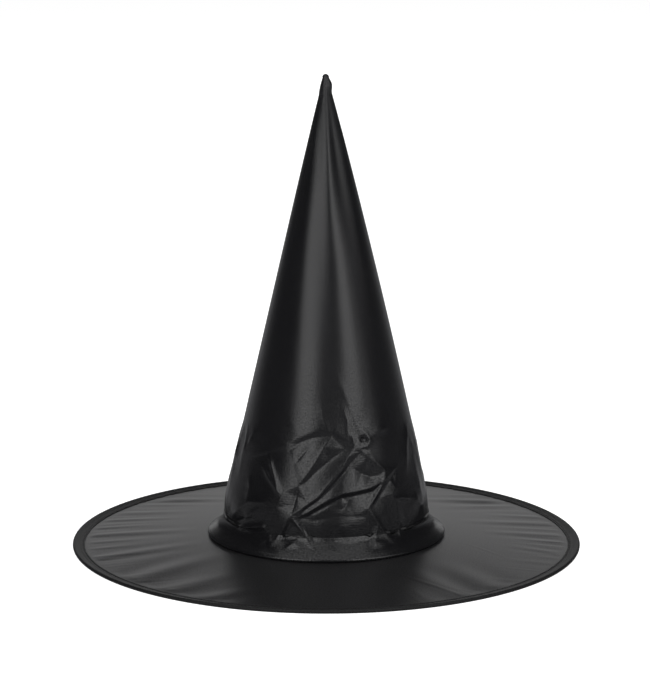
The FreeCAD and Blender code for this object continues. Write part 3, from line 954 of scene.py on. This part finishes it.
# start and end, as across and towards the back, then rise and width from valley to valley
topFolds = [
    ((-128, 116), (-74, 104), 0.52, 24), ((-146, 101), (-98, 92), 0.26, 18),
    ((-160, 76), (-106, 68), 0.30, 20), ((-172, 56), (-112, 48), 0.22, 14),
    ((-179, 34), (-130, 32), 0.16, 12), ((-181, 14), (-100, 8), 0.36, 22),
    ((-182, -8), (-142, -8), 0.16, 12), ((-179, -26), (-146, -23), 0.16, 13),
    ((-177, -52), (-96, -30), 0.36, 24), ((-146, -112), (-76, -58), 0.50, 38),
    ((-120, -140), (-64, -104), 0.40, 34), ((-92, -158), (-50, -140), 0.30, 26),
    ((134, 112), (70, 104), 0.58, 24), ((97, -148), (49, -104), 0.09, 7),
    ((127, -52), (104, -28), 0.05, 6), ((146, 99), (84, 76), 0.26, 22),
    ((170, 66), (124, 62), 0.20, 16), ((177, 46), (106, 36), 0.34, 22),
    ((181, 12), (120, 8), 0.28, 20), ((182, -8), (146, -6), 0.16, 13),
    ((176, -38), (140, -28), 0.14, 16), ((124, -136), (84, -76), 0.34, 40),
    ((98, -154), (62, -96), 0.26, 34), ((-30, 176), (-24, 112), 0.2, 24),
    ((46, 170), (40, 110), 0.2, 24), ((12, -178), (8, -120), 0.16, 30),
]


def makeBrimCloth(name, top):
    # a stretched disc with a hole: the brim's height, with puckers and long folds on its upper cloth
    angle = columns(brim["columns"])[None, :]
    inwards = np.linspace(0, 1, brim["rows"] - 3) ** brim["crowd"] * (bindingEdge - brim["innerEdge"])
    radius = np.concatenate([np.linspace(panelEdge, bindingEdge, 4)[:-1], bindingEdge - inwards])
    radius = (radius if top else radius[::-1])[:, None]
    if top:
        folds = puckers(angle, radius, puckerKind["seed"]) + longFolds(angle, radius, topFolds)
        height = brimHeight(radius) + folds
    else:
        folds = puckers(angle, radius, puckerKind["seed"] + 1) * puckerKind["under"]
        height = brimHeight(radius) - 2 * brim["cloth"] - brim["gap"] - folds
    grid = aroundHat(angle, radius, height)
    # the cloth's threads run straight across the brim
    piece = makeSurface(name, grid, brimSatinMaterial, grid[..., :2] + brim["clothMiddle"])
    return thicken(piece, brim["cloth"])


brimTopCloth = makeBrimCloth("brimTopCloth", True)
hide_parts("brim_top_panel")
brimUnderCloth = makeBrimCloth("brimUnderCloth", False)
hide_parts("brim_under_panel")
for piece in (brimTopCloth, brimUnderCloth):
    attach(piece, "hat")
print("brim cloth made")


binding = {
    "columns": 900,
    "cloth": 0.4,
    "foldStart": 3.6,  # from the inner edge, where the tape leaves the panels for the hoop
    "stitchLine": 1.4,
    "grooveHalf": 0.55,
    "grooveDepth": 0.31,
    "across": (0, 0.35, 0.8, 1.1, 1.4, 1.7, 2.0, 2.5, 3.1, 3.6, 4.6, 5.6, 6.6),  # from the inner edge
    "turnRows": 11,  # of the tape's turn round the hoop
    "seed": 3,
    "edgeWander": (0.22, (31, 67, 113, 171, 229)),  # size, and waves round the hat
    "lift": (0.05, (90, 155, 240)),
    "wilderBehind": 3.0,
}
hoopLow, hoopHigh = boxOf("brim_hoop_wire")
hoopHeight = (hoopLow[2] + hoopHigh[2]) / 2
hoopRadius = hoopHigh[0] - (hoopHigh[2] - hoopLow[2]) / 2
tapeOutside = brimRadius - hoopRadius
tapeTop = flatTop + brim["gap"] + binding["cloth"]


def tapeFace(distance, depth):
    # how far the stitching presses the tape in, at a distance from its inner edge
    return depth * bump(distance, binding["stitchLine"], binding["grooveHalf"])


def tapeLevel(distance):
    # the tape's upper face: level over the panels, then straight to the hoop's top
    return np.interp(distance, [binding["foldStart"], hoopRadius - bindingEdge], [tapeTop, 2 * tapeOutside])


def wander(angle, seed, amount, waves):
    # an uneven line round the hat: a sum of sines of random phase
    rng = np.random.default_rng(seed)
    total = 0 * angle
    for wave in waves:
        total = total + np.sin(wave * angle + rng.uniform(0, turn)) * rng.uniform(0.5, 1.0)
    return amount * total / math.sqrt(len(waves))


def makeBinding():
    # a closed section: the upper leg, the turn round the hoop and the under leg, out and back again
    angle = columns(binding["columns"])[None, :]
    edge = wander(angle, binding["seed"], *binding["edgeWander"])
    edge = edge * (1 + binding["wilderBehind"] * smooth(-np.cos(angle), 0.3, 0.9))  # sewn less evenly
    across = np.array(binding["across"])[:, None]
    lift = wander(angle, binding["seed"] + 1, *binding["lift"]) * smooth(across, 6, 0)
    inner = bindingEdge + edge * (1 - smooth(across, 0, 2.5)) + across
    groove = tapeFace(across, binding["grooveDepth"])
    upper = aroundHat(angle, inner, tapeLevel(across) - groove + lift)
    bend = np.linspace(math.pi / 2, -math.pi / 2, binding["turnRows"])[:, None]
    outside, inside = (aroundHat(angle, hoopRadius + size * np.cos(bend), hoopHeight + size * np.sin(bend))
                       for size in (tapeOutside, tapeOutside - binding["cloth"]))
    under = aroundHat(angle, bindingEdge + across, groove)
    underIn = aroundHat(angle, bindingEdge + across, np.full_like(across, binding["cloth"]))
    upperIn = aroundHat(angle, inner, tapeLevel(across) - binding["cloth"] + lift)
    loop = [upper, outside, under[::-1], underIn, inside[::-1], upperIn[::-1]]
    return makeLoop("edgeBinding", np.concatenate(loop)[::-1], angle, brimRadius)


bindingLapShape = {
    "across": (0.3, 0.8, 1.4, 2.0, 2.8, 3.6, 5.0, 6.4), "columns": 24, "share": 0.96, "clear": 0.03,
    "thickness": 0.36, "fullness": (0.28, 0.012), "groove": 0.2,  # rise and width at its folded ends
}


def makeBindingLap():
    # the tape's free end, folded under and lapped over its beginning at the back
    lap = bindingLapShape
    half = math.asin(boxOf("binding_end_lap")[1][0] / bindingEdge) * lap["share"]
    angle = (math.pi + np.linspace(-half, half, lap["columns"]))[None, :]
    across = np.array(lap["across"])[:, None]
    base = tapeLevel(across) + brim["gap"] + lap["clear"]
    rise, width = lap["fullness"]
    fullness = rise * bump(np.abs(angle - math.pi), half, width)
    top = base + lap["thickness"] + fullness - tapeFace(across, lap["groove"])
    upper, lower = (aroundHat(angle, bindingEdge + across, level) for level in (top, base))
    loop = np.concatenate([upper, lower[::-1]])[::-1]
    rows, cols = loop.shape[:2]
    faces = gridFaces(rows, cols, wrapCols=False, wrapRows=True).tolist()
    faces += [[i * cols for i in range(rows)], [i * cols + cols - 1 for i in range(rows)][::-1]]
    uv = pairs(angle * brimRadius, np.arange(rows)[:, None]).reshape(-1, 2)
    return makeMesh("bindingEndLap", loop.reshape(-1, 3), faces, tapeMaterial, uv, 40)


stitch = {"length": 2.1, "pitch": 2.6, "thread": 0.14, "around": 6, "along": 7, "lift": 0.16, "dip": 0.2}


def makeStitches(name, radius, height, side):
    # one short length of thread per stitch, round in section, its ends dipping into the cloth
    # side is 1 on an upper face and -1 under one
    along, around = stitch["along"], stitch["around"]
    count = round(turn * radius / stitch["pitch"])
    share = np.linspace(-1, 1, along)[None, :, None]
    section = (np.arange(around) / around * turn)[None, None, :]
    at = np.arange(count)[:, None, None] / count * turn
    angle = at + share * stitch["length"] / 2 / radius
    thin = stitch["thread"] * np.sqrt(np.clip(1.02 - share**4, 0.02, 1))
    upwards = thin * np.sin(section) - side * stitch["dip"] * share**6
    points = aroundHat(angle, radius + thin * np.cos(section), height + side * stitch["lift"] + upwards)
    size = along * around
    one = gridFaces(along, around)[:, ::-1]
    faces = (one[None] + np.arange(count)[:, None, None] * size).reshape(-1, 4).tolist()
    start = np.arange(around)
    for number in range(count):
        faces.append((start + number * size).tolist())
        faces.append((start[::-1] + (number + 1) * size - around).tolist())
    return makeMesh(name, points.reshape(-1, 3), faces, threadMaterial)


stitchRadius = bindingEdge + binding["stitchLine"]
edgeBinding = makeBinding()
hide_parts("brim_edge_binding")
bindingLap = makeBindingLap()
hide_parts("binding_end_lap")
topStitches = makeStitches("bindingStitchesTop", stitchRadius, tapeTop - binding["grooveDepth"], 1)
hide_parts("binding_stitching_top")
underStitches = makeStitches("bindingStitchesUnder", stitchRadius, binding["grooveDepth"], -1)
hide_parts("binding_stitching_under")


openingLow, openingHigh = boxOf("opening_seam_binding")
opening = {
    "columns": 420, "cloth": 0.4, "legEnd": 86.0, "stitchLine": 85.2, "edge": 84.3,  # radii
    "bendRows": 9, "seed": 8, "ripple": (0.05, (57, 101, 160)),
}


def makeOpeningBinding():
    # a narrow tape folded over the raw edges: a rounded U lying on its side
    angle = columns(opening["columns"])[None, :]
    low, high = openingLow[2], openingHigh[2]
    middle, half, thick, edge = (low + high) / 2, (high - low) / 2, opening["cloth"], opening["edge"]
    bend = np.linspace(-math.pi / 2, math.pi / 2, opening["bendRows"])[:, None]
    square = np.abs(np.sin(bend)) ** 0.6 * np.sign(np.sin(bend))  # a fold with a nearly flat front
    leg = np.array([opening["legEnd"], opening["stitchLine"], edge + 0.2])[:, None]
    leg = leg + wander(angle, opening["seed"], *opening["ripple"])
    outerLow, outerHigh, innerHigh, innerLow = (
        aroundHat(angle, leg, np.full_like(leg, level)) for level in (low, high, high - thick, low + thick))
    front = aroundHat(angle, edge + 0.1 - (thick + 0.1) * np.cos(bend) ** 0.5, middle + half * square)
    back = aroundHat(angle, edge + 0.15 - 0.12 * np.cos(bend), middle - (half - thick) * square)
    loop = [outerLow, front, outerHigh[::-1], innerHigh, back, innerLow[::-1]]
    return makeLoop("openingSeamBinding", np.concatenate(loop), angle, edge, flip=True)


openingBinding = makeOpeningBinding()
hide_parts("opening_seam_binding")
openingStitches = makeStitches("openingSeamStitchesUnder", opening["stitchLine"], openingLow[2], -1)
innerStitches = makeStitches("openingSeamStitchesInside", opening["stitchLine"], openingHigh[2], 1)
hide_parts("opening_seam_stitching")

careLabel = {
    "width": 20.0, "across": 14.0, "thickness": 0.28, "curl": 2.6, "clear": 2.2, "ripple": 0.35, "sewn": 6,
    "columns": 25, "rows": 36,
}


def makeCareLabel():
    # a blank satin tab sewn by its top edge beside the back seam, its free end curling off the wall
    low, high = levelsOf("care_label")
    share = np.linspace(-1, 1, careLabel["columns"])[None, :]
    height = np.linspace(low, high, careLabel["rows"])[:, None]
    radius = coneRadius(height)
    across = careLabel["across"] + share * careLabel["width"] / 2
    angle = math.pi - np.arcsin(across / radius)
    free = 1 - smooth(height, low, high - careLabel["sewn"])
    off = careLabel["clear"] + careLabel["curl"] * free**2
    off = off + careLabel["ripple"] * free * np.sin(3 * share + 0.4)
    grid = aroundHat(angle, radius + linerAt(angle, height) - off, height, axisShift(height))
    piece = makeSurface("careLabel", grid, labelMaterial, pairs(across, height), wrapCols=False)
    return thicken(piece, careLabel["thickness"], 0.0)


labelPiece = makeCareLabel()
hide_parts("care_label")
for piece in (edgeBinding, bindingLap, topStitches, underStitches, openingBinding, openingStitches,
              innerStitches, labelPiece):
    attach(piece, "hat")
for node, material in (("brim_hoop_wire", wireMaterial), ("cone_ring_wire", wireMaterial),
                       ("brim_hoop_sleeve", sleeveMaterial), ("cone_ring_sleeve", sleeveMaterial)):
    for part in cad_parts[node].material_slots:
        part.material = material
print("binding, stitches and label made")


studio = {
    "floorSize": 14.0,
    "above": "#303031",
    "below": "#8c8c8e",
    "camera": {"distance": 2.85, "elevation": 15.45, "aim": (-0.001, 0.0, 0.1485), "lens": 195.5},
    "lightCentre": (0, 0, 0.15),
    # azimuth from the front towards +X, elevation, distance, width, height, strength
    "lights": {
        "softboxLeft": (-34, 24, 1.7, 1.12, 1.5, 9.4),
        "softboxRight": (39, 24, 1.7, 1.04, 1.5, 8.6),
        "softboxMiddle": (3, 24, 1.7, 0.90, 1.5, 0.7),
        "softboxFarRight": (66, 24, 1.7, 0.66, 1.5, 1.8),
        "softboxFront": (0, 47, 1.8, 1.2, 0.45, 0.4),
        "backdrop": (180, 10, 2.4, 1.75, 1.0, 4.3),
        "overhead": (0, 89, 2.6, 3.0, 3.0, 23),
    },
}


def makeStudio():
    scene = bpy.context.scene
    scene.view_settings.view_transform = "Standard"
    world = bpy.data.worlds.new("studioRoom")
    world.use_nodes = True
    # the room is dark above the horizon, and pale below it, where the table throws light back
    tree = world.node_tree
    place = addNode(tree, "ShaderNodeTexCoord")
    split = addNode(tree, "ShaderNodeSeparateXYZ", {}, {0: place.outputs["Generated"]})
    rise = addNode(tree, "ShaderNodeMapRange", {"From Min": -0.12, "From Max": 0.06},
                   {"Value": split.outputs["Z"]})
    tone = addNode(tree, "ShaderNodeMixRGB",
                   {"Color1": hexLinear(studio["below"]), "Color2": hexLinear(studio["above"])},
                   {"Fac": rise.outputs["Result"]})
    tree.links.new(tone.outputs["Color"], tree.nodes["Background"].inputs["Color"])
    scene.world = world
    half = studio["floorSize"] / 2
    mesh = bpy.data.meshes.new("studioFloor")
    corners = [(-half, -half, 0), (half, -half, 0), (half, half, 0), (-half, half, 0)]
    mesh.from_pydata(corners, [], [(0, 1, 2, 3)])
    floor = bpy.data.objects.new("studioFloor", mesh)
    mesh.materials.append(newMaterial("paleFloor", {
        "Base Color": hexLinear("#f4f4f3"), "Roughness": 0.9, "Specular IOR Level": 0.1,
        "Emission Color": (1, 1, 1, 1), "Emission Strength": 0.9})[0])
    scene.collection.objects.link(floor)
    floor.visible_glossy = False  # the room's own tone below the horizon shows in the satin instead
    centre = Vector(studio["lightCentre"])
    for name, (azimuth, elevation, distance, width, height, power) in studio["lights"].items():
        data = bpy.data.lights.new(name, "AREA")
        data.shape = "RECTANGLE"
        data.size, data.size_y, data.energy = width, height, power
        light = bpy.data.objects.new(name, data)
        a, e = math.radians(azimuth), math.radians(elevation)
        back = Vector((math.sin(a) * math.cos(e), -math.cos(a) * math.cos(e), math.sin(e)))
        light.location = centre + back * distance
        light.rotation_euler = back.to_track_quat("Z", "Y").to_euler()
        light.visible_camera = False
        scene.collection.objects.link(light)
    shot = studio["camera"]
    data = bpy.data.cameras.new("camera")
    data.lens = shot["lens"]
    data.clip_end = 50
    camera = bpy.data.objects.new("camera", data)
    e = math.radians(shot["elevation"])
    back = Vector((0, -math.cos(e), math.sin(e)))
    camera.location = back * shot["distance"] + Vector((0, 0, hoopHeight * mm))
    look = Vector(shot["aim"]) - camera.location
    camera.rotation_euler = look.to_track_quat("-Z", "Y").to_euler()
    scene.collection.objects.link(camera)
    scene.camera = camera


makeStudio()
print("studio made")
